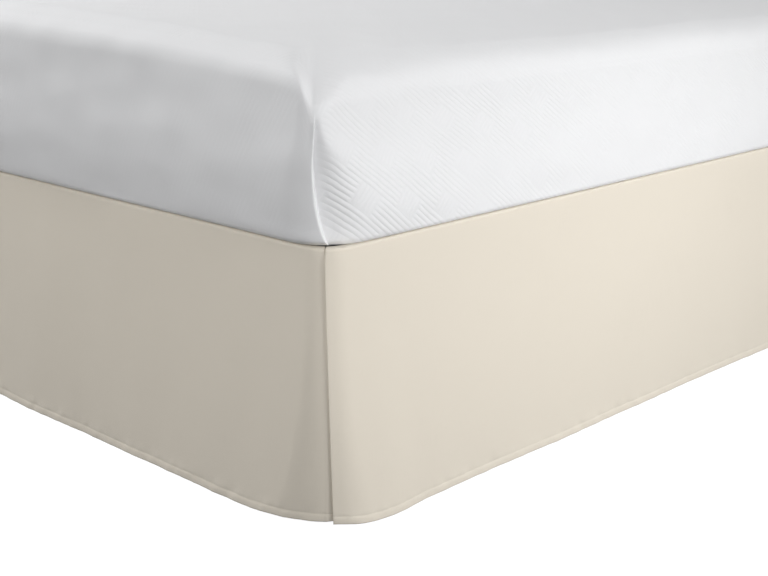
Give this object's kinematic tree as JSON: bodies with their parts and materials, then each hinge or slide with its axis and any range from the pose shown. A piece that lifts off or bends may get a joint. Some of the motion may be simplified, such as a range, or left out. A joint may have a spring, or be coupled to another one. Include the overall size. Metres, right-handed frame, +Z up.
{
  "type": "bed skirt on a bed with a box spring and mattress",
  "caption": "Tailored split-corner bed skirt with flat drops hanging to the floor, shown on a plain box spring and mattress.",
  "frame": {"origin": "on the floor under the middle of the bed", "axes": "+Z up, +Y towards the head of the bed, -Y towards the foot, +X towards the bed's right side seen from the foot"},
  "size_m": [1.54, 2.048, 0.6233],
  "materials": {
    "skirt_cloth": "matte closely woven cotton blend, ivory",
    "deck_cloth": "matte plain woven, off-white",
    "mattress_cover": "matte white woven cover with soft diagonal ribs",
    "box_spring_cover": "matte woven ticking, light grey",
    "leg_wood": "satin stained hardwood"
  },
  "bodies": {
    "root": {"deck": "deck_cloth", "side_drop_right": "skirt_cloth", "side_drop_left": "skirt_cloth", "foot_drop": "skirt_cloth", "mattress": "mattress_cover", "box_spring": "box_spring_cover", "leg_foot_right": "leg_wood", "leg_foot_left": "leg_wood", "leg_middle_right": "leg_wood", "leg_middle_left": "leg_wood", "leg_head_right": "leg_wood", "leg_head_left": "leg_wood"}
  },
  "joints": []
}
